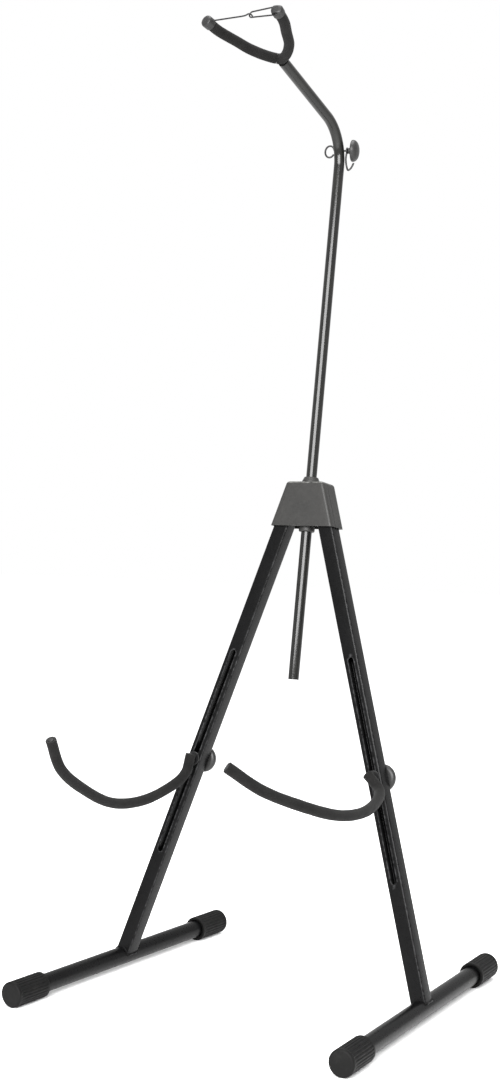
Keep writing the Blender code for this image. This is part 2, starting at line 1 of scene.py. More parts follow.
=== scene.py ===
"""Looks for a folding cello stand: smooth visual pieces on its bodies, procedural
materials, a plain studio and a camera. Metres, +Z up; the stand faces -Y."""
import json
import math

import bmesh
import bpy
import numpy as np
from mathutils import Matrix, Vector


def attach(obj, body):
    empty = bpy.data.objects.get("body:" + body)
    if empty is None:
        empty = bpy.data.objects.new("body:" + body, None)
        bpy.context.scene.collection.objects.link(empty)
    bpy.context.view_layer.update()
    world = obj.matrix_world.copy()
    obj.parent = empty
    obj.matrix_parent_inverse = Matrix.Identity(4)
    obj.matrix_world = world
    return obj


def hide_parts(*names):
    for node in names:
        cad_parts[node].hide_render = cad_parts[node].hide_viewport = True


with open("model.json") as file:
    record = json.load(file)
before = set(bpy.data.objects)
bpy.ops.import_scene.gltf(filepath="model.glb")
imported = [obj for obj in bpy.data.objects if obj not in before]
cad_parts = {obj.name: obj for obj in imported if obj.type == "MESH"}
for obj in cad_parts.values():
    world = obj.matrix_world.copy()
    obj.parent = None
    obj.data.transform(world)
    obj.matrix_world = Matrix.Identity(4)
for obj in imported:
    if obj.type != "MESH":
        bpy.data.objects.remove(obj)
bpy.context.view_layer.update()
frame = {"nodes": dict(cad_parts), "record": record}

# ---- dimensions shared with the solids ----
LEAN, SPLAY, YOKE_PITCH = math.radians(9.9), math.radians(17.93), math.radians(19.8)
FOOT_SPREAD, FOOT_R, FOOT_FRONT, FOOT_BACK = 0.2373, 0.0125, 0.2397, 0.2268
CAP_R, CAP_LEN, CAP_FLOOR, FLUTES, FLUTE_DEPTH = 0.0173, 0.060, 0.005, 26, 0.0009
LEG_W, LEG_WALL, LEG_R, PIVOT, LEG_END = 0.022, 0.0015, 0.0025, 0.6811, 0.0110
SLOT_LOW, SLOT_HIGH, SLOT_W = 0.160, 0.468, 0.0085
HEAD_LOW, HEAD_HIGH, HEAD_HALF = 0.6235, 0.6865, 0.0497
HEAD_FRONT, HEAD_SEAM, HEAD_BACK, HEAD_WALL = 0.0164, 0.0042, 0.0187, 0.0018
ROD_R, ROD_LOW, ROD_SET_BACK, BEND_R, CLAMP_Z, BUSH_R = 0.0075, 0.410, 0.0020, 0.060, 0.655, 0.0112
FOAM_R, BAR_R, WIRE_R, CORE_R = 0.0072, 0.0040, 0.0010, 0.0045
ARM_BOLT = {-1: 0.3030, 1: 0.3025}
ARM_SWING = {-1: math.radians(-10.3), 1: math.radians(-31.5)}
ARM_TOE = 0.023
GAP = 0.0003
HEAD_ROOF = 0.0035                      # how far the head's inside stays below its top
HEAD_COLS = 34                          # points from one end of a shell's seam to the other
BOW_Z, BOW_TURN = 1.1687, math.radians(17.0)
SLEEVE_SIDES, SLEEVE_STEP, SLEEVE_EDGE = 40, 0.0016, 0.0011
PATH_STEP = 0.0008

X = np.array([1.0, 0.0, 0.0])
U = np.array([0.0, math.sin(LEAN), math.cos(LEAN)])
BACK = np.array([0.0, math.cos(LEAN), -math.sin(LEAN)])
ORIGIN = np.array([0.0, 0.0379, CAP_R])
TOE = math.asin(math.sin(LEAN) * math.sin(SPLAY))


class Axes:
    """A right-handed frame: an origin and three unit axes, as rows."""

    def __init__(self, origin, x, y, z):
        self.o = np.asarray(origin, float)
        self.m = np.array([x, y, z], float)

    def __call__(self, points):
        return self.o + np.asarray(points, float) @ self.m

    def moved(self, offset):
        return Axes(self(offset), *self.m)

    def along_back(self):
        """The same place with z turned to the back, x kept."""
        return Axes(self.o, self.m[0], -self.m[2], self.m[1])


def leg_axes(side, along):
    """On a leg's centre line: x across, y to the back, z up the leg."""
    d = math.cos(SPLAY) * U - side * math.sin(SPLAY) * X
    s = math.cos(SPLAY) * X + side * math.sin(SPLAY) * U
    return Axes(ORIGIN + side * FOOT_SPREAD * X + along * d, s, BACK, d)


def foot_axes(side):
    """On a floor tube under its leg: z runs along the tube to the back."""
    z = np.array([-side * math.sin(TOE), math.cos(TOE), 0.0])
    y = np.array([0.0, 0.0, 1.0])
    return Axes(ORIGIN + side * FOOT_SPREAD * X, np.cross(y, z), y, z)


HEAD = Axes(ORIGIN, X, BACK, U)


# ---- materials: every colour, roughness and bump comes from object-space noise ----
def links_for(mat):
    """A function that adds a node to mat and links or sets its inputs."""
    tree = mat.node_tree

    def add(kind, inputs=(), **settings):
        node = tree.nodes.new(kind)
        for key, value in settings.items():
            setattr(node, key, value)
        for key, value in dict(inputs).items():
            if isinstance(value, bpy.types.NodeSocket):
                tree.links.new(value, node.inputs[key])
            else:
                node.inputs[key].default_value = value
        return node

    return add


def finish_material(name, color, tint, rough, spread, blotch=22.0, grain=1500.0, depth=0.00004,
                    cells=False, metallic=0.0, coat=0.0, sheen=0.0, dust=0.0, edge=None, specular=0.5):
    """Principled surface. A slow noise mixes color with tint, a middle noise moves the roughness by
    spread either way, and a fine noise or cell pattern makes the bump; with cells the same pattern
    also darkens the pits and lightens the ridges, painted shade in the dimples. dust lightens it in soft
    patches; edge is the light colour of a painted highlight, mixed in where the mesh's highlight
    attribute is high."""
    mat = bpy.data.materials.new(name)
    mat.use_nodes = True
    bsdf = mat.node_tree.nodes["Principled BSDF"]
    add = links_for(mat)
    place = add("ShaderNodeTexCoord").outputs["Object"]
    slow = add("ShaderNodeTexNoise", {"Vector": place, "Scale": blotch, "Detail": 6.0, "Roughness": 0.62})
    middle = add("ShaderNodeTexNoise", {"Vector": place, "Scale": blotch * 9, "Detail": 4.0})
    ramp = add("ShaderNodeMapRange", {"Value": slow.outputs["Fac"], "From Min": 0.32, "From Max": 0.68})
    base = add("ShaderNodeMix", {"Factor": ramp.outputs["Result"]}, data_type="RGBA")
    base.inputs[6].default_value = (*color, 1.0)
    base.inputs[7].default_value = (*tint, 1.0)
    shade = base.outputs[2]
    if cells:
        # Cells multiply the colour down in each pit and up on the ridges of the pattern that drives the bump:
        # painted shade in the dimples.
        fine = add("ShaderNodeTexVoronoi", {"Vector": place, "Scale": grain, "Randomness": 0.9})
        height = fine.outputs["Distance"]
        pit = add("ShaderNodeMapRange", {"Value": height, "From Min": 0.1, "From Max": 0.75,
                                         "To Min": 0.72, "To Max": 1.25})
        dark = add("ShaderNodeMix", {"Factor": 1.0}, data_type="RGBA", blend_type="MULTIPLY")
        mat.node_tree.links.new(shade, dark.inputs[6])
        grey = add("ShaderNodeCombineColor", {0: pit.outputs[0], 1: pit.outputs[0], 2: pit.outputs[0]})
        mat.node_tree.links.new(grey.outputs[0], dark.inputs[7])
        shade = dark.outputs[2]
    else:
        fine = add("ShaderNodeTexNoise", {"Vector": place, "Scale": grain, "Detail": 3.0,
                                          "Roughness": 0.55})
        height = fine.outputs["Fac"]
    if dust:
        patch = add("ShaderNodeTexNoise", {"Vector": place, "Scale": blotch * 2.3, "Detail": 8.0,
                                           "Roughness": 0.75})
        amount = add("ShaderNodeMapRange", {"Value": patch.outputs["Fac"], "From Min": 0.52,
                                            "From Max": 0.80, "To Max": dust})
        over = add("ShaderNodeMix", {"Factor": amount.outputs[0]}, data_type="RGBA")
        mat.node_tree.links.new(shade, over.inputs[6])
        over.inputs[7].default_value = (0.32, 0.31, 0.29, 1.0)
        shade = over.outputs[2]
    level = add("ShaderNodeMapRange", {"Value": middle.outputs["Fac"], "From Min": 0.3, "From Max": 0.7,
                                       "To Min": rough - spread, "To Max": rough + spread}).outputs[0]
    # Painted highlight: a light edge colour mixed in along the edges the mesh marks, broken up by noise.
    if edge:
        edge_highlight = add("ShaderNodeAttribute", attribute_name="edge_highlight").outputs["Fac"]
        broken = add("ShaderNodeMath", {0: edge_highlight, 1: middle.outputs["Fac"]}, operation="MULTIPLY")
        gate = add("ShaderNodeMapRange", {"Value": broken.outputs[0], "From Min": 0.30, "From Max": 0.62})
        lit_edge = add("ShaderNodeMix", {"Factor": gate.outputs[0]}, data_type="RGBA")
        mat.node_tree.links.new(shade, lit_edge.inputs[6])
        lit_edge.inputs[7].default_value = (*edge, 1.0)
        shade = lit_edge.outputs[2]
    bump = add("ShaderNodeBump", {"Height": height, "Strength": 0.6, "Distance": depth})
    mat.node_tree.links.new(shade, bsdf.inputs["Base Color"])
    mat.node_tree.links.new(level, bsdf.inputs["Roughness"])
    mat.node_tree.links.new(bump.outputs["Normal"], bsdf.inputs["Normal"])
    bsdf.inputs["Metallic"].default_value = metallic
    bsdf.inputs["Specular IOR Level"].default_value = specular
    bsdf.inputs["Coat Weight"].default_value = coat
    bsdf.inputs["Coat Roughness"].default_value = 0.08
    bsdf.inputs["Sheen Weight"].default_value = sheen
    bsdf.inputs["Sheen Roughness"].default_value = 0.5
    return mat


# Its edge colour is a painted highlight: much lighter paint on the legs' slot edges and rounded corners.
SATIN = finish_material("powder_coat_black", (0.0016, 0.0016, 0.0017), (0.0026, 0.0026, 0.0027), 0.30,
                        0.05, grain=1100.0, depth=0.00004, edge=(0.034, 0.034, 0.035), dust=0.003,
                        specular=0.10)
GLOSS = finish_material("rod_enamel_black", (0.006, 0.006, 0.006), (0.009, 0.009, 0.008), 0.13, 0.02,
                        blotch=30.0, grain=420.0, depth=0.000012, coat=0.1, specular=0.22)
WIRE = finish_material("blackened_wire", (0.0050, 0.0050, 0.0055), (0.0100, 0.0098, 0.0095), 0.34, 0.08,
                       blotch=90.0, grain=1800.0, depth=0.00002, specular=0.25)
ZINC = finish_material("zinc_plate", (0.58, 0.59, 0.60), (0.50, 0.50, 0.48), 0.30, 0.09,
                       blotch=70.0, grain=2200.0, depth=0.00002, metallic=1.0)
RUBBER = finish_material("moulded_rubber", (0.0028, 0.0028, 0.0028), (0.0046, 0.0045, 0.0044), 0.56, 0.07,
                         grain=1300.0, depth=0.00008, dust=0.02, specular=0.10)
# Its edge colour is a painted highlight along the head's rounded top edge.
SHELL = finish_material("head_moulding", (0.0120, 0.0118, 0.0112), (0.0150, 0.0145, 0.0137), 0.46, 0.06,
                        blotch=26.0, grain=1700.0, depth=0.00007, dust=0.02,
                        edge=(0.09, 0.09, 0.085), specular=0.28)
KNOB = finish_material("knob_moulding", (0.0090, 0.0090, 0.0090), (0.0130, 0.0128, 0.0126), 0.40, 0.06,
                       blotch=40.0, grain=1900.0, depth=0.00006, dust=0.015, specular=0.28)
FOAM = finish_material("foam_sleeve_skin", (0.0044, 0.0043, 0.0042), (0.0072, 0.0070, 0.0068), 0.84, 0.05,
                       blotch=60.0, grain=900.0, depth=0.00030, cells=True, sheen=0.03, dust=0.012,
                       specular=0.07)
FOAM_CUT = finish_material("foam_sleeve_cut", (0.014, 0.014, 0.014), (0.024, 0.0235, 0.023), 0.97, 0.02,
                           blotch=90.0, grain=1200.0, depth=0.00040, cells=True, specular=0.15)
SLOT_MATERIAL = {"satin_black_steel": SATIN, "gloss_black_steel": GLOSS, "black_wire": WIRE,
                 "plated_steel": ZINC, "ribbed_rubber": RUBBER, "head_plastic": SHELL,
                 "knob_plastic": KNOB, "foam_sleeve": FOAM}
for entry in frame["record"]["subparts"]:
    dulled = entry["node"].startswith("arm_washer")
    for mat_slot in frame["nodes"][entry["node"]].material_slots:
        mat_slot.material = WIRE if dulled else SLOT_MATERIAL[entry["material_slot"]]


# ---- mesh building ----
def loft_faces(rows, cols, first=0, wrap_rows=False):
    """Quads joining each ring of cols points to the next."""
    i = np.arange(rows if wrap_rows else rows - 1)[:, None]
    j = np.arange(cols)[None, :]
    a, b = i * cols + j, i * cols + (j + 1) % cols
    up = ((i + 1) % rows - i) * cols
    return (np.stack([a, b, b + up, a + up], -1).reshape(-1, 4) + first).tolist()


def piece(name, verts, faces, body, mat, stands_for=(), edge_highlight=None, angle=38.0, merge=0.0):
    """A finished object: outward skin, smooth shading broken at sharp edges, its body and slot."""
    mesh = bpy.data.meshes.new(name)
    mesh.from_pydata(np.asarray(verts, float).tolist(), [], faces)
    # Per-point weights of the painted edge highlight, read by the material.
    if edge_highlight is not None:
        mesh.attributes.new("edge_highlight", "FLOAT", "POINT").data.foreach_set("value", np.asarray(edge_highlight, np.float32))
    bm = bmesh.new()
    bm.from_mesh(mesh)
    if merge:
        bmesh.ops.remove_doubles(bm, verts=bm.verts, dist=merge)
    bmesh.ops.recalc_face_normals(bm, faces=bm.faces)
    if bm.calc_volume(signed=True) < 0:
        bmesh.ops.reverse_faces(bm, faces=bm.faces)
    bm.to_mesh(mesh)
    bm.free()
    mesh.polygons.foreach_set("use_smooth", [True] * len(mesh.polygons))
    mesh.set_sharp_from_angle(angle=math.radians(angle))
    mesh.materials.append(mat)
    obj = bpy.data.objects.new(name, mesh)
    bpy.context.scene.collection.objects.link(obj)
    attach(obj, body)
    if stands_for:
        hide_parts(*stands_for)
    return obj


def resampled(points, step, start=0.0, end=None):
    """Evenly spaced points along a path, between two distances from its start."""
    points = np.asarray(points, float)
    run = np.concatenate([[0.0], np.cumsum(np.linalg.norm(np.diff(points, axis=0), axis=1))])
    end = run[-1] if end is None else end
    at = np.linspace(start, end, max(2, int(round((end - start) / step)) + 1))
    return np.stack([np.interp(at, run, points[:, k]) for k in range(3)], -1)


def path_length(points):
    return float(np.linalg.norm(np.diff(np.asarray(points), axis=0), axis=1).sum())


def bent_path(corners, radius, steps=24):
    """Straight runs with a round bend of one radius at each inner corner."""
    corners = [np.asarray(c, float) for c in corners]
    out = [corners[0]]
    for a, b, c in zip(corners, corners[1:], corners[2:]):
        din, dout = (b - a) / np.linalg.norm(b - a), (c - b) / np.linalg.norm(c - b)
        turn = math.acos(float(np.clip(din @ dout, -1, 1)))
        start = b - din * radius * math.tan(turn / 2)
        inward = dout - din * (din @ dout)
        inward /= np.linalg.norm(inward)
        t = np.linspace(0, turn, steps + 1)[:, None]
        out.extend(start + din * radius * np.sin(t) + inward * radius * (1 - np.cos(t)))
    out.append(corners[-1])
    return np.array(out)


def smooth_path(points, per_span=16):
    """Centripetal Catmull-Rom curve through the points."""
    p = np.asarray(points, float)
    p = np.vstack([2 * p[0] - p[1], p, 2 * p[-1] - p[-2]])
    out = []
    for p0, p1, p2, p3 in zip(p, p[1:], p[2:], p[3:]):
        t0 = 0.0
        t1 = t0 + np.linalg.norm(p1 - p0) ** 0.5
        t2 = t1 + np.linalg.norm(p2 - p1) ** 0.5
        t3 = t2 + np.linalg.norm(p3 - p2) ** 0.5
        t = np.linspace(t1, t2, per_span, endpoint=False)[:, None]
        a1 = p0 * ((t1 - t) / (t1 - t0)) + p1 * ((t - t0) / (t1 - t0))
        a2 = p1 * ((t2 - t) / (t2 - t1)) + p2 * ((t - t1) / (t2 - t1))
        a3 = p2 * ((t3 - t) / (t3 - t2)) + p3 * ((t - t2) / (t3 - t2))
        b1 = a1 * ((t2 - t) / (t2 - t0)) + a2 * ((t - t0) / (t2 - t0))
        b2 = a2 * ((t3 - t) / (t3 - t1)) + a3 * ((t - t1) / (t3 - t1))
        out.append(b1 * ((t2 - t) / (t2 - t1)) + b2 * ((t - t1) / (t2 - t1)))
    return np.vstack(out + [p[-2][None]])


def tube_rings(points, radius, sides, closed=False):
    """Rings round a path. Each ring's axes are the last ring's, turned by the least that follows
    the path. radius is one number or one per point."""
    p = np.asarray(points, float)
    if closed:
        t = np.roll(p, -1, 0) - np.roll(p, 1, 0)
    else:
        t = np.gradient(p, axis=0)
    t /= np.linalg.norm(t, axis=1)[:, None]
    side = np.cross(t[0], [0.31, 0.82, 0.48])
    side /= np.linalg.norm(side)
    sides_at = []
    for k in range(len(p)):
        side = side - t[k] * (side @ t[k])
        side /= np.linalg.norm(side)
        sides_at.append(side)
    n1 = np.array(sides_at)
    n2 = np.cross(t, n1)
    a = 2 * math.pi * np.arange(sides) / sides
    r = np.broadcast_to(np.asarray(radius, float), (len(p),))[:, None, None]
    ring = np.cos(a)[None, :, None] * n1[:, None] + np.sin(a)[None, :, None] * n2[:, None]
    return p[:, None] + ring * r, ring


def capped(rings):
    """Verts and faces of a stack of rings closed by a flat face at each end."""
    rows, cols = rings.shape[:2]
    faces = loft_faces(rows, cols)
    faces += [list(range(cols))[::-1], list(range((rows - 1) * cols, rows * cols))]
    return rings.reshape(-1, 3), faces


def rounded_rod(points, radius, sides, nose):
    """A round bar along a path whose two ends are rounded over by nose."""
    p = np.asarray(points, float)
    a = np.linspace(0, math.pi / 2, 5)[:-1]
    head, tail = p[0] - p[1], p[-1] - p[-2]
    head, tail = head / np.linalg.norm(head), tail / np.linalg.norm(tail)
    drop = nose * (1 - np.sin(a))
    first = p[0] - head * drop[:, None]
    last = p[-1] - tail * drop[::-1, None]
    clear = nose * 1.2
    keep = p[(np.linalg.norm(p - p[0], axis=1) > clear) & (np.linalg.norm(p - p[-1], axis=1) > clear)]
    shrink = radius - nose + nose * np.cos(math.pi / 2 - a)
    path = np.vstack([first[:1] + head * 1e-6, first[1:], keep, last[:-1], last[-1:] + tail * 1e-6])
    radii = np.concatenate([shrink, np.full(len(keep), radius), shrink[::-1]])
    return capped(tube_rings(path, radii, sides)[0])


def revolved(profile, axes, sides):
    """One ring about z for each (r, z)."""
    profile = np.asarray(profile, float)
    a = 2 * math.pi * np.arange(sides) / sides
    return axes(np.stack([profile[:, :1] * np.cos(a), profile[:, :1] * np.sin(a),
                          np.broadcast_to(profile[:, 1:], (len(profile), sides))], -1))


def turned(profile, axes, sides=64):
    """Solid of revolution about z, with the two ends closed flat."""
    return capped(revolved(profile, axes, sides))


def ring_solid(profile, axes, sides=64):
    """Solid of revolution with a hole: the profile is a closed loop of (r, z)."""
    rings = revolved(profile, axes, sides)
    return rings.reshape(-1, 3), loft_faces(*rings.shape[:2], wrap_rows=True)


def rounded_profile(corners, radius, steps=5):
    """A profile's corners rounded over by up to radius, the ends left as they are."""
    c = [np.asarray(p, float) for p in corners]
    out = [c[0]]
    for a, b, d in zip(c, c[1:], c[2:]):
        la, lb = np.linalg.norm(b - a), np.linalg.norm(d - b)
        r = min(radius, 0.45 * la, 0.45 * lb)
        p, q = b + (a - b) / la * r, b + (d - b) / lb * r
        t = np.linspace(0, 1, steps)[:, None]
        out.extend((1 - t) ** 2 * p + 2 * t * (1 - t) * b + t ** 2 * q)
    out.append(c[-1])
    return np.array(out)


# ---- floor tubes and ribbed end caps ----
def foot_cap(name, side, end, body, node):
    """A ribbed cap. Rings run from the nose along the outside to the open end and back down the
    bore. Radius is the ring's own, less a rounded groove repeated round the body that fades out
    before the plain rims."""
    reach = FOOT_FRONT if end < 0 else FOOT_BACK
    q = np.linspace(0, math.pi / 2, 6)
    rows = [(0.0040, 0.0, 0.0), (0.0100, 0.0, 0.0)]
    rows += [(CAP_R - 0.0028 + 0.0028 * math.sin(a), 0.0028 - 0.0028 * math.cos(a), 0.0) for a in q]
    rows += [(CAP_R, 0.0044, 0.0), (CAP_R, 0.0056, 0.15), (CAP_R, 0.0064, 0.7), (CAP_R, 0.0074, 1.0)]
    rows += [(CAP_R, z, 1.0) for z in np.linspace(0.012, 0.0530, 9)]
    rows += [(CAP_R, 0.0545, 1.0), (CAP_R, 0.0553, 0.6), (CAP_R, 0.0560, 0.1), (CAP_R, 0.0568, 0.0)]
    rows += [(CAP_R - 0.0008 + 0.0008 * math.cos(a), CAP_LEN - 0.0008 + 0.0008 * math.sin(a), 0.0) for a in q]
    rows += [(FOOT_R + 0.0012, CAP_LEN, 0.0), (FOOT_R + 0.0005, CAP_LEN - 0.0008, 0.0),
             (FOOT_R + GAP, CAP_LEN - 0.004, 0.0), (FOOT_R + GAP, CAP_FLOOR, 0.0)]
    r, z, flute = np.array(rows).T
    cols = FLUTES * 12
    a = 2 * math.pi * np.arange(cols) / cols
    groove = np.clip((np.cos(FLUTES * a) + 0.15) / 0.75, 0, 1) ** 0.8
    radius = r[:, None] - FLUTE_DEPTH * flute[:, None] * groove[None, :]
    local = np.stack([radius * np.cos(a), radius * np.sin(a),
                      np.broadcast_to((end * (reach - z))[:, None], radius.shape)], -1)
    verts, faces = capped(foot_axes(side)(local))
    piece(name, verts, faces, body, RUBBER, [node], angle=60)


for side, word in ((-1, "left"), (1, "right")):
    body = "leg_%s_body" % word
    axes = foot_axes(side)
    ends = [[0, 0, -(FOOT_FRONT - CAP_FLOOR - GAP)], [0, 0, FOOT_BACK - CAP_FLOOR - GAP]]
    verts, faces = rounded_rod(resampled(axes(ends), 0.02), FOOT_R, 64, 0.0006)
    piece("floor_tube_" + word, verts, faces, body, SATIN, ["foot_tube_" + word])
    for end, name in ((-1, "front"), (1, "back")):
        foot_cap("ribbed_cap_%s_%s" % (word, name), side, end, body, "foot_cap_%s_%s" % (word, name))


# ---- slotted square legs ----
def leg_height(side, x, y, radius):
    """How far up the leg a line at (x, y) leaves a cylinder about the floor tube's axis."""
    leg, tube = leg_axes(side, 0.0), foot_axes(side).m[2]
    c = x[:, None] * leg.m[0] + y[:, None] * leg.m[1]
    d = leg.m[2]
    qa = 1 - (d @ tube) ** 2
    qb = 2 * (c @ d - (c @ tube) * (d @ tube))
    qc = (c * c).sum(1) - (c @ tube) ** 2 - radius ** 2
    return (-qb + np.sqrt(np.maximum(qb * qb - 4 * qa * qc, 0))) / (2 * qa)


def leg_section(half, radius, slot):
    """One ring round a square tube, with a pair of points at the slot's edges in the front face
    and another in the back face. The flats are listed so that the quad between a pair is known."""
    pts, pair = [], []
    for quarter, (cx, cy) in enumerate(((1, -1), (1, 1), (-1, 1), (-1, -1))):
        for k in range(7):
            a = math.radians(-90 + 90 * quarter + 15 * k)
            pts.append((cx * (half - radius) + radius * math.cos(a),
                        cy * (half - radius) + radius * math.sin(a)))
        if quarter == 1:
            pair.append(len(pts))
            pts += [(slot, half), (-slot, half)]
        if quarter == 3:
            pair.append(len(pts))
            pts += [(-slot, -half), (slot, -half)]
    return pts, pair


def slotted_leg(side, word):
    """Square tube with a round-ended slot through its front and back faces. Each ring is the tube's
    section with the slot's half width at that height; above and below the slot the pair closes up.
    The foot is coped to the floor tube, and the top is rounded about the pivot."""
    half, r = LEG_W / 2, SLOT_W / 2
    turn = np.linspace(0, math.pi / 2, 9)
    slot_z = np.concatenate([SLOT_LOW + r - r * np.cos(turn),
                             np.linspace(SLOT_LOW + 0.02, SLOT_HIGH - 0.02, 12),
                             SLOT_HIGH - r + r * np.sin(turn)])
    slot_w = np.concatenate([r * np.sin(turn), np.full(12, r), r * np.cos(turn)])
    z = np.concatenate([[0.0], np.linspace(0.030, SLOT_LOW - 0.012, 5), slot_z,
                        np.linspace(SLOT_HIGH + 0.012, PIVOT - 0.012, 8), [PIVOT]])
    w = np.concatenate([np.zeros(6), slot_w, np.zeros(9)])
    low, high = 6, 6 + len(slot_z) - 1
    skins = []
    for half_in, rad in ((half, LEG_R), (half - LEG_WALL, 0.001)):
        rings = []
        for zk, wk in zip(z, w):
            pts, pair = leg_section(half_in, rad, wk)
            xy = np.array(pts)
            height = np.full(len(xy), zk)
            if zk == 0.0:
                height = leg_height(side, xy[:, 0], xy[:, 1], FOOT_R - 0.0002)
            if zk == PIVOT:
                height = PIVOT + np.sqrt(np.maximum(LEG_END ** 2 - xy[:, 0] ** 2, 0))
            rings.append(np.column_stack([xy, height]))
        skins.append(np.array(rings))
    rows, cols = skins[0].shape[:2]
    verts = np.vstack([s.reshape(-1, 3) for s in skins])
    # Painted highlight weights: 1 along the slot's edges, where light catches the paint.
    edge_highlight = np.zeros(len(verts))
    faces = []
    count = rows * cols
    for k in range(rows - 1):
        for j in range(cols):
            if j in pair:
                continue
            a, b = k * cols + j, k * cols + (j + 1) % cols
            faces.append([a, b, b + cols, a + cols])
            faces.append([a + count, a + cols + count, b + cols + count, b + count])
    for j in pair:
        for jj in (j, j + 1):
            for k in range(low, high):
                a, b = k * cols + jj, (k + 1) * cols + jj
                faces.append([a, b, b + count, a + count])
            edge_highlight[[k * cols + jj for k in range(low, high + 1)]] = 1.0
    for k in (0, rows - 1):
        for j in range(cols):
            if j not in pair:
                a, b = k * cols + j, k * cols + (j + 1) % cols
                faces.append([a, b, b + count, a + count])
    # The tube's rounded corners get a weaker painted highlight.
    corner = np.abs(np.abs(verts[:count, 0]) - np.abs(verts[:count, 1])) < 0.0012
    edge_highlight[:count][corner] = 0.75
    local = leg_axes(side, 0.0)(verts)
    piece("slotted_leg_" + word, local, faces, "leg_%s_body" % word, SATIN,
          ["leg_" + word], edge_highlight=edge_highlight, merge=1e-6)
    bead = skins[0][0][:, :2]
    keep = [j for j in range(cols) if j not in pair and j - 1 not in pair]
    bead = bead[keep] * 1.03
    bead = np.vstack([bead[j] + (np.roll(bead, -1, 0)[j] - bead[j]) * t for j in range(len(bead))
                      for t in np.linspace(0, 1, 5, endpoint=False)]).reshape(-1, 2)
    height = leg_height(side, bead[:, 0], bead[:, 1], FOOT_R + 0.0003)
    path = leg_axes(side, 0.0)(np.column_stack([bead, height]))
    k = np.arange(len(path))
    wobble = 0.0013 + 0.0002 * np.sin(k * 1.7) + 0.0001 * np.sin(k * 0.9)
    rings = tube_rings(path, wobble, 12, closed=True)[0]
    piece("weld_bead_" + word, rings.reshape(-1, 3), loft_faces(*rings.shape[:2], wrap_rows=True),
          "leg_%s_body" % word, SATIN, angle=80)


for side, word in ((-1, "left"), (1, "right")):
    slotted_leg(side, word)


# ---- head shells, bush and clamp ----
def head_shell(name, sign, seam, face, node):
    """Half of the head's cover. The skin's columns run from one end of the seam round the face to
    the other; its rows climb the side, roll over the top edge and close in on the bush hole. The
    outline at a height is a box with round corners, its half width falling with the splay."""
    slope, r = math.tan(SPLAY), 0.0040
    a = np.linspace(0, math.pi / 2, 8)

    def outline(z, inset):
        half = HEAD_HALF - (z - HEAD_LOW) * slope - inset
        deep = face - inset
        rc = r - min(inset, r * 0.75)
        right = np.column_stack([half - rc + rc * np.cos(a), deep - rc + rc * np.sin(a)])
        left = np.column_stack([-right[::-1, 0], right[::-1, 1]])
        x = np.linspace(right[-1, 0], left[0, 0], 14)[1:-1]
        front = np.column_stack([x, np.full(12, deep)])
        side_y = np.linspace(seam, right[0, 1], 4)[:-1]
        edge_r = np.column_stack([np.full(3, half), side_y])
        edge_l = np.column_stack([np.full(3, -half), side_y[::-1]])
        return np.vstack([edge_r, right, front, left, edge_l])

    # Weights per row for a painted highlight along the rounded top edge, strongest half-way round the roll.
    rows, edge_highlight = [], []
    for z in np.linspace(HEAD_LOW, HEAD_HIGH - r, 9):
        rows.append(np.column_stack([outline(z, 0.0), np.full(HEAD_COLS, z)]))
        edge_highlight.append(0.0)
    for b in np.linspace(0, math.pi / 2, 8)[1:]:
        z = HEAD_HIGH - r + r * math.sin(b)
        rows.append(np.column_stack([outline(z, r * (1 - math.cos(b))), np.full(HEAD_COLS, z)]))
        edge_highlight.append(math.sin(2 * b))
    hole = BUSH_R + GAP
    centre = sign * ROD_SET_BACK
    first = math.asin((seam - centre) / hole)
    turn = np.linspace(first, math.pi - first, HEAD_COLS)
    arc = np.column_stack([hole * np.cos(turn), centre + hole * np.sin(turn),
                           np.full(HEAD_COLS, HEAD_HIGH)])
    edge = rows[-1]
    for t in (0.25, 0.5, 0.75, 1.0):
        rows.append(edge * (1 - t) + arc * t)
        edge_highlight.append(0.0)
    grid = np.array(rows)
    grid[..., 1] *= sign
    n, cols = grid.shape[:2]
    inner = grid.copy()
    i = np.arange(n - 1)[:, None]
    j = np.arange(cols - 1)[None, :]
    q = i * cols + j
    faces = np.stack([q, q + 1, q + 1 + cols, q + cols], -1).reshape(-1, 4).tolist()
    half = HEAD_HALF - (grid[..., 2] - HEAD_LOW) * slope - HEAD_WALL
    deep = face - HEAD_WALL
    inner[..., 0] = np.clip(grid[..., 0], -half, half)
    inner[..., 1] = np.where(sign * grid[..., 1] > deep, sign * deep, grid[..., 1])
    inner[..., 2] = np.minimum(grid[..., 2], HEAD_HIGH - HEAD_ROOF)
    count = n * cols
    faces += (np.stack([q, q + cols, q + 1 + cols, q + 1], -1).reshape(-1, 4) + count).tolist()
    for k in range(n - 1):
        for c in (0, cols - 1):
            lo, hi = k * cols + c, (k + 1) * cols + c
            faces.append([lo, hi, hi + count, lo + count])
    for c in range(cols - 1):
        for k in (0, n - 1):
            lo = k * cols + c
            faces.append([lo, lo + 1, lo + 1 + count, lo + count])
    verts = HEAD(np.vstack([grid.reshape(-1, 3), inner.reshape(-1, 3)]))
    # Painted highlight weights for each outer point; the inside gets none.
    rim_highlight = np.repeat(np.array(edge_highlight), cols)
    rim_highlight = np.concatenate([rim_highlight, np.zeros(count)])
    piece(name, verts, faces, "head", SHELL, [node], edge_highlight=rim_highlight, angle=50)


head_shell("front_shell", -1, HEAD_SEAM + 0.0006, HEAD_FRONT, "head_front")
head_shell("back_shell", 1, -HEAD_SEAM + GAP / 2, HEAD_BACK, "head_back")

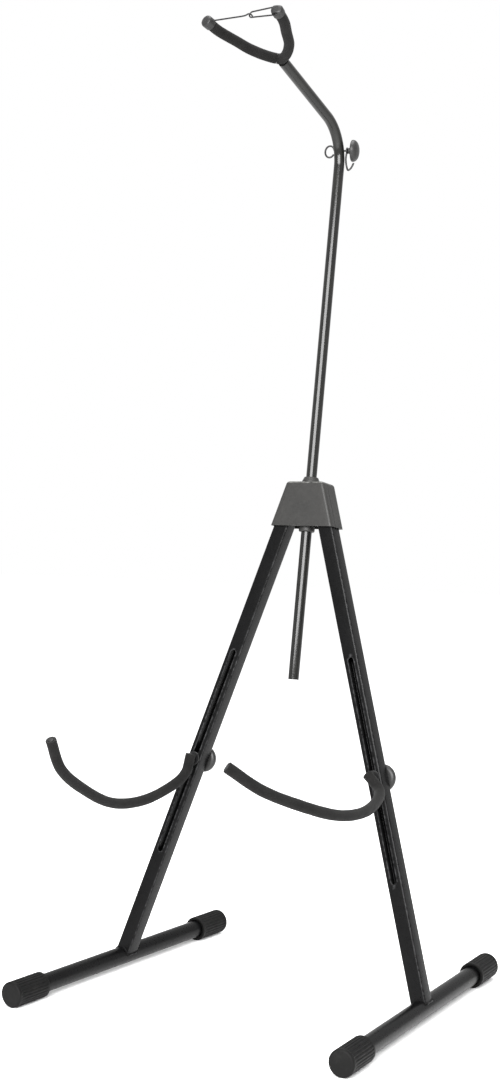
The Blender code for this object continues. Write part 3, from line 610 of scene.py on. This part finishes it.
ROD = HEAD.moved([0, ROD_SET_BACK, 0])
bush = rounded_profile([(ROD_R + GAP, HEAD_HIGH - 0.02), (ROD_R + GAP, HEAD_HIGH + 0.0078),
                        (0.0098, HEAD_HIGH + 0.0078), (0.0103, HEAD_HIGH + 0.0066),
                        (0.0124, HEAD_HIGH + 0.0022), (0.0126, HEAD_HIGH + GAP), (BUSH_R, HEAD_HIGH + GAP),
                        (BUSH_R, HEAD_LOW - 0.0050), (0.0104, HEAD_LOW - 0.0065),
                        (ROD_R + GAP, HEAD_LOW - 0.0065), (ROD_R + GAP, HEAD_LOW + 0.02)], 0.0007)
verts, faces = ring_solid(bush, ROD)
piece("bush_sleeve", verts, faces, "head", SHELL, ["rod_bush"])


def knob_profile(radius, face, depth):
    """Mushroom knob: a flat underside with a rolled rim, then a dome that flattens at the top."""
    return rounded_profile([(0.0002, face), (radius * 0.80, face), (radius * 0.97, face + depth * 0.12),
                            (radius, face + depth * 0.40), (radius * 0.94, face + depth * 0.66),
                            (radius * 0.76, face + depth * 0.87), (radius * 0.48, face + depth * 0.97),
                            (radius * 0.20, face + depth), (0.0002, face + depth)], 0.0030, 6)


clamp_axes = HEAD.moved([0, ROD_SET_BACK, CLAMP_Z]).along_back()
back_face = HEAD_BACK - ROD_SET_BACK
verts, faces = turned(knob_profile(0.0150, back_face + 0.0030, 0.0150), clamp_axes)
piece("clamp_hand_knob", verts, faces, "clamp", KNOB, ["clamp_knob"])

# ---- neck rod ----
rod_low = HEAD([0, ROD_SET_BACK, ROD_LOW])
base = np.array([0.0, 0.0769, 1.2664])
corner = np.array([0.0, 0.24540, 1.1921])
corner = rod_low + U * ((corner - rod_low) @ U)
rise = (base - corner) / np.linalg.norm(base - corner)
rod_top = base - rise * (CORE_R + 0.0009)
rod_path = bent_path([rod_low, corner, rod_top], BEND_R, 40)
rod_path = np.vstack([resampled(rod_path[:2], 0.03)[:-1], rod_path[1:-1],
                      resampled(rod_path[-2:], 0.02)[1:]])
verts, faces = rounded_rod(rod_path, ROD_R, 64, 0.0010)
piece("neck_tube", verts, faces, "rod", GLOSS, ["neck_rod"])

# ---- bow holder ----
bow_point = rod_low + U * ((BOW_Z - rod_low[2]) / U[2])
turn = BOW_TURN
bow_x = math.cos(turn) * X + math.sin(turn) * BACK
BOW = Axes(bow_point, -np.cross(U, bow_x), U, bow_x)
a = np.radians(np.linspace(-168, 336 / 22 * 21 - 168, 64))
eye = np.column_stack([np.zeros(64), -0.0085 * np.sin(a) - 0.0015, -(0.0155 + 0.0066 * np.cos(a))])
eye_path = np.vstack([resampled([[0, 0, 0.0262], [0, 0, -0.0079]], 0.002), eye])
verts, faces = rounded_rod(BOW(eye_path), 0.0013, 20, 0.0004)
piece("bow_eye_wire", verts, faces, "rod", WIRE, ["bow_eye"])
a = np.radians(np.linspace(230, -60, 40))
loop = np.column_stack([0.0036 * np.cos(a), 0.0036 * np.sin(a), np.full(40, 0.0098)])
tail = smooth_path([(0.0022, -0.0056, 0.0097), (0.0010, -0.0130, 0.0092), (0.0, -0.0235, 0.0112),
                    (0.0, -0.0285, 0.0136), (0.0, -0.0268, 0.0166), (0.0, -0.0215, 0.0196),
                    (0.0, -0.0180, 0.0208)], 10)
verts, faces = rounded_rod(BOW(np.vstack([loop, tail])), 0.0013, 20, 0.0005)
piece("bow_hook_wire", verts, faces, "bow_hook_body", WIRE, ["bow_hook"])
verts, faces = turned(rounded_profile([(0.0002, 0.0116), (0.0045, 0.0116), (0.0045, 0.0158), (0.0055, 0.0163),
                                       (0.0146, 0.0163), (0.0155, 0.0174), (0.0155, 0.0196), (0.0142, 0.0226),
                                       (0.0110, 0.0252), (0.0060, 0.0268), (0.0020, 0.0272),
                                       (0.0002, 0.0272)], 0.0014), BOW)
piece("bow_hand_knob", verts, faces, "bow_knob_body", KNOB, ["bow_knob"])


# ---- foam sleeves ----
def sleeve(name, path, body, node, seed, radius=FOAM_R):
    """A foam tube drawn over a bar. The path's radius swells and thins by a few hundredths of a
    millimetre in slow waves, the skin has shallow dimples, and both ends are cut square with a soft
    edge and closed in on the bar."""
    p = np.asarray(path, float)
    edge = np.linspace(0, math.pi / 2, 6)
    e = SLEEVE_EDGE
    t0 = (p[1] - p[0]) / np.linalg.norm(p[1] - p[0])
    t1 = (p[-1] - p[-2]) / np.linalg.norm(p[-1] - p[-2])
    sunk = BAR_R + 0.0003
    head = [(sunk, 0.0022), (sunk + 0.0002, 0.0004), (sunk + 0.0006, 0.0001)]
    head += [(radius - e + e * math.sin(a), e - e * math.cos(a)) for a in edge]
    r_end = np.array([h[0] for h in head])
    z_end = np.array([h[1] for h in head])
    mid = resampled(p, SLEEVE_STEP, e * 1.6, path_length(p) - e * 1.6)
    rings_mid, normal = tube_rings(mid, radius, SLEEVE_SIDES)
    k = np.arange(len(mid))[:, None]
    a = 2 * math.pi * np.arange(SLEEVE_SIDES)[None, :] / SLEEVE_SIDES
    swell = (0.00008 * np.sin(k * 0.071 + seed) + 0.00006 * np.sin(k * 0.19 + 2 * a + seed * 2)
             + 0.00004 * np.sin(k * 0.43 + 3 * a + seed * 5) - 0.00008)
    rings_mid = rings_mid + normal * swell[..., None]
    n_first, n_last = normal[0], normal[-1]
    first = p[0] + t0 * z_end[:, None, None] + n_first[None] * r_end[:, None, None]
    last = p[-1] - t1 * z_end[::-1, None, None] + n_last[None] * r_end[::-1, None, None]
    rings = np.vstack([first, rings_mid, last])
    verts, faces = capped(rings)
    obj = piece(name, verts, faces, body, FOAM, [node], angle=55)
    obj.data.materials.append(FOAM_CUT)
    index = np.zeros(len(obj.data.polygons), np.int32)
    index[:SLEEVE_SIDES * 3] = 1
    index[len(index) - 2 - SLEEVE_SIDES * 3:] = 1
    obj.data.polygons.foreach_set("material_index", index)


def end_plug(name, point, direction, body, radius=0.0036):
    """A small domed plug set in the end of a sleeve, over the bar's end."""
    d = np.asarray(direction, float) / np.linalg.norm(direction)
    x = np.cross(d, [0.3, 0.5, 0.81])
    x /= np.linalg.norm(x)
    axes = Axes(point, x, np.cross(d, x), d)
    verts, faces = turned(rounded_profile([(0.0002, -0.0010), (radius, -0.0010), (radius, 0.0002),
                                           (radius * 0.7, 0.0007), (0.0002, 0.0009)], 0.0004), axes, 32)
    piece(name, verts, faces, body, KNOB)


fore = np.array([0.0, -math.cos(YOKE_PITCH), math.sin(YOKE_PITCH)])
YOKE = Axes(base, X, fore, np.cross(X, fore))
HALF = [(0.0, 0.0), (0.0123, 0.0087), (0.0294, 0.0309), (0.0400, 0.0566), (0.0500, 0.0820), (0.0541, 0.1077)]
half = smooth_path([(x, y, 0) for x, y in HALF], 20)
half_len = path_length(half)
mirror = half * [-1, 1, 1]
yoke_left = resampled(mirror, PATH_STEP, 0.0062, half_len - 0.0095)
through = np.vstack([mirror[::-1], half[1:]])
yoke_right = resampled(through, PATH_STEP, half_len - 0.0059, 2 * half_len - 0.0095)
sleeve("yoke_sleeve_left", YOKE(yoke_left), "rod", "yoke_foam_left", 1.3)
sleeve("yoke_sleeve_right", YOKE(yoke_right), "rod", "yoke_foam_right", 4.1)

# ---- yoke caps and wire latch ----
HINGE_Z = -0.0015
hinge = {}
for side, word in ((-1, "left"), (1, "right")):
    tip, prev = half[-1] * [side, 1, 1], half[-2] * [side, 1, 1]
    z = YOKE.m.T @ ((tip - prev) / np.linalg.norm(tip - prev))
    y = YOKE.m[2]
    tip_axes = Axes(YOKE(tip), np.cross(y, z), y, z)
    profile = rounded_profile([(0.0002, 0.0030), (0.0046, 0.0029), (0.0074, 0.0019), (0.0082, 0.0000),
                               (0.0082, -0.0091), (0.0070, -0.0091), (0.0002, -0.0091)], 0.0012)
    verts, faces = turned(profile, tip_axes, 48)
    if side > 0:
        local = (verts - tip_axes.o) @ tip_axes.m.T
        near = np.clip(local[:, 1], -0.0050, 0.0050)
        local[:, 1] = np.where(local[:, 2] > -0.0064, near, local[:, 1])
        verts = tip_axes(local)
    piece("yoke_end_" + word, verts, faces, "rod", KNOB, ["yoke_cap_" + word])
    hinge[side] = tip_axes([0, 0, HINGE_Z])

reach = float(np.linalg.norm(hinge[1] - hinge[-1]))
LOOP_LEN, LOOP_HALF = 0.0420, 0.0042
upper = np.array([[0.0, 0.0, 0.0030], [0.0, 0.0, 0.0052], [-0.0002, 0.0, 0.0060], [-0.0008, 0.0, 0.0065],
                  [-0.0020, 0.0, 0.0066], [-0.0046, 0.0, 0.0060]])
a = np.linspace(0, math.pi, 25)
nose = np.column_stack([-LOOP_LEN + LOOP_HALF - LOOP_HALF * np.sin(a), np.zeros(25), LOOP_HALF * np.cos(a)])
lower = upper[::-1] * [1, 1, -1]
bail = np.vstack([smooth_path(upper, 5), nose, smooth_path(lower, 5)])
verts, faces = rounded_rod(Axes(hinge[1], X, fore, YOKE.m[2])(bail), WIRE_R, 16, 0.0004)
piece("latch_bail", verts, faces, "latch_loop_body", WIRE, ["latch_loop"])
catch = reach - LOOP_LEN
hooked = smooth_path([(0.0, 0.0, 0.0042), (0.0, 0.0, 0.0010), (0.0003, 0.0, 0.0003), (0.0010, 0.0, 0.0),
                      (catch - 0.0300, 0.0, 0.0), (catch - 0.0080, 0.0, 0.0), (catch - 0.0032, 0.0013, 0.0),
                      (catch - 0.0014, 0.0022, 0.0), (catch + 0.0003, 0.0024, 0.0),
                      (catch + 0.0016, 0.0020, 0.0), (catch + 0.0024, 0.0009, 0.0),
                      (catch + 0.0025, -0.0006, 0.0), (catch + 0.0025, -0.0034, 0.0)], 6)
verts, faces = rounded_rod(Axes(hinge[-1], X, fore, YOKE.m[2])(hooked), WIRE_R, 16, 0.0004)
piece("latch_hooked_wire", verts, faces, "latch_hook_body", WIRE, ["latch_hook"])

# ---- padded body arms ----
ARM_UN = [(0.0180, 0.0222), (0.0275, 0.0300), (0.0410, 0.0535), (0.0613, 0.1154), (0.0657, 0.1882),
          (0.0487, 0.2584), (0.0219, 0.3198), (-0.0139, 0.3525)]
for side, word in ((-1, "left"), (1, "right")):
    leg = leg_axes(side, ARM_BOLT[side])
    swing = ARM_SWING[side]
    s, b, d = leg.m
    arm = Axes(leg.o, s * math.cos(swing) - d * math.sin(swing), b, s * math.sin(swing) + d * math.cos(swing))
    curve = smooth_path([(-side * ARM_TOE * (n - 0.0222), -n, -u) for u, n in ARM_UN], 24)
    lead = resampled([[0.0, -0.0212, 0.0058], [0.0, -0.0216, -0.0075], curve[0]], 0.001)
    line = np.vstack([lead[:-1], curve])
    line = resampled(line, PATH_STEP)
    kernel = np.ones(9) / 9
    soft = line.copy()
    for k in range(3):
        soft[4:-4, k] = np.convolve(line[:, k], kernel, "valid")
    sleeve("arm_sleeve_" + word, arm(soft), "arm_" + word, "arm_foam_" + word, 2.2 + side)
    end = soft[-1] - soft[-2]
    end_plug("arm_plug_tip_" + word, arm(soft[-1]), end @ arm.m, "arm_" + word)
    end_plug("arm_plug_top_" + word, arm(soft[0]), (soft[0] - soft[1]) @ arm.m, "arm_" + word)
    verts, faces = turned(knob_profile(0.0190, 0.0114, 0.0135), leg.along_back())
    piece("arm_hand_knob_" + word, verts, faces, "knob_" + word, KNOB, ["arm_knob_" + word])


# ---- studio and camera ----
def studio_sheet(name, corners, color, glow):
    """A flat staged sheet of pale paper that may glow a little."""
    mesh = bpy.data.meshes.new(name)
    mesh.from_pydata(corners, [], [[0, 1, 2, 3]])
    obj = bpy.data.objects.new(name, mesh)
    bpy.context.scene.collection.objects.link(obj)
    mat = bpy.data.materials.new(name)
    mat.use_nodes = True
    paper = mat.node_tree.nodes["Principled BSDF"]
    paper.inputs["Base Color"].default_value = (*color, 1.0)
    paper.inputs["Roughness"].default_value = 0.95
    paper.inputs["Specular IOR Level"].default_value = 0.0
    paper.inputs["Emission Color"].default_value = (1.0, 1.0, 1.0, 1.0)
    paper.inputs["Emission Strength"].default_value = glow
    mesh.materials.append(mat)


def softbox(name, place, target, width, height, watts):
    """A rectangular light at place, facing target."""
    light = bpy.data.lights.new(name, "AREA")
    light.shape = "RECTANGLE"
    light.size, light.size_y, light.energy = width, height, watts
    obj = bpy.data.objects.new(name, light)
    bpy.context.scene.collection.objects.link(obj)
    obj.location = place
    obj.rotation_euler = (Vector(place) - Vector(target)).to_track_quat("Z", "Y").to_euler()


studio_sheet("studio_floor", [(-7, -7, -0.0004), (7, -7, -0.0004), (7, 7, -0.0004), (-7, 7, -0.0004)],
             (0.92, 0.92, 0.92), 0.05)
world = bpy.data.worlds.new("studio_air")
world.use_nodes = True
world.node_tree.nodes["Background"].inputs["Color"].default_value = (1.0, 1.0, 1.0, 1.0)
world.node_tree.nodes["Background"].inputs["Strength"].default_value = 1.0
bpy.context.scene.world = world
softbox("front_box", (1.12, -2.90, 1.90), (0, 0.1, 0.8), 3.3, 1.5, 330)
softbox("top_box", (0.1, 0.1, 3.6), (0, 0.2, 0.0), 2.4, 2.4, 120)

camera_data = bpy.data.cameras.new("camera")
camera_data.sensor_fit = "VERTICAL"
camera_data.sensor_height = 24.0
camera_data.lens = 38.585
camera = bpy.data.objects.new("camera", camera_data)
camera.location = (1.2290, -1.9607, 0.7154)
camera.rotation_euler = (math.radians(87.56), 0.0, math.radians(32.12))
bpy.context.scene.collection.objects.link(camera)
bpy.context.scene.camera = camera
bpy.context.scene.view_settings.view_transform = "Standard"
